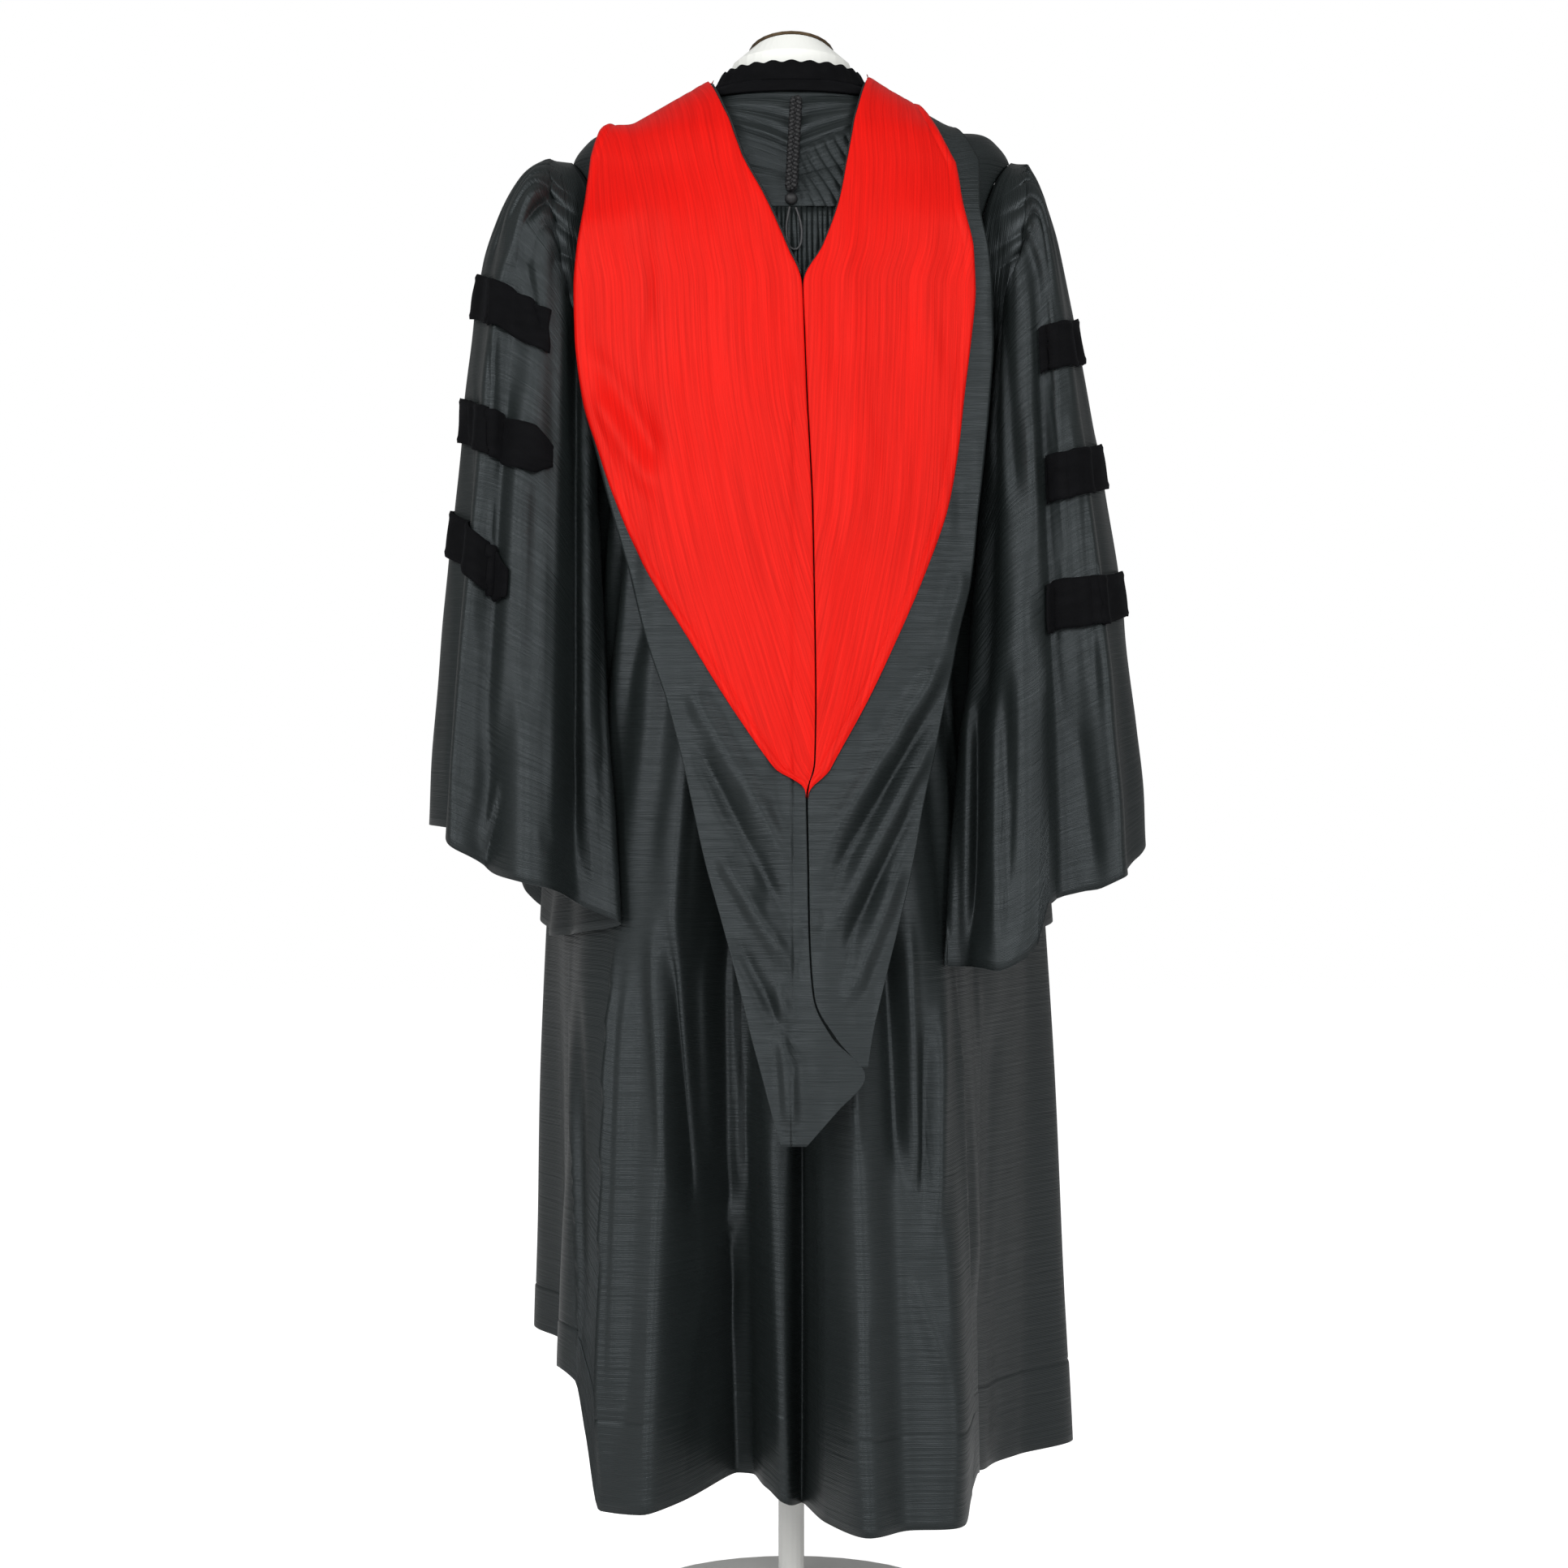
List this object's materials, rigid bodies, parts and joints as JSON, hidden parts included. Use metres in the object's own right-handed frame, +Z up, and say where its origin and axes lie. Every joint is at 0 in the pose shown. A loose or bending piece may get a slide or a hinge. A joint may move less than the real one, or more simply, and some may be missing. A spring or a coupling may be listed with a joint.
{
  "type": "graduation gown with hood on a dress form",
  "caption": "Black doctoral gown with velvet trim and a red-lined hood, hollow and open at neck, cuffs and hem, standing on a limbless dress form with a round base.",
  "frame": {"origin": "centre of the base's underside, on the floor", "axes": "+Z up; -Y the way the gown's back faces, which is the side the picture shows; +X the wearer's right"},
  "size_m": [0.6749, 0.4763, 1.5319],
  "materials": {
    "faille": "black silk faille with a fine crosswise rib and a cool sheen on its folds",
    "velvet": "deep black cotton velvet, matt, with a faint nap",
    "red_silk": "bright red slubbed silk with a soft sheen",
    "cord": "black silk cord, plaited or wound",
    "form_white": "matt off-white covering",
    "bronze": "dark aged bronze"
  },
  "bodies": {
    "root": {"back_panel": "faille", "front_left": "faille", "front_right": "faille", "yoke_back": "faille", "yoke_front_left": "faille", "yoke_front_right": "faille", "velvet_collar": "velvet", "velvet_facing_left": "velvet", "velvet_facing_right": "velvet", "sleeve_left": "faille", "sleeve_right": "faille", "bar_left_1": "velvet", "bar_left_2": "velvet", "bar_left_3": "velvet", "bar_right_1": "velvet", "bar_right_2": "velvet", "bar_right_3": "velvet", "hood_lining_left": "red_silk", "hood_lining_right": "red_silk", "hood_shell_left": "faille", "hood_shell_right": "faille", "hood_neckband": "faille", "hood_braid": "cord", "hood_button": "cord", "button_loop": "cord", "form_torso": "form_white", "form_neck_cap": "form_white", "form_cap_rim": "bronze", "form_knob": "form_white", "form_pole": "form_white", "form_base": "form_white"}
  },
  "joints": []
}
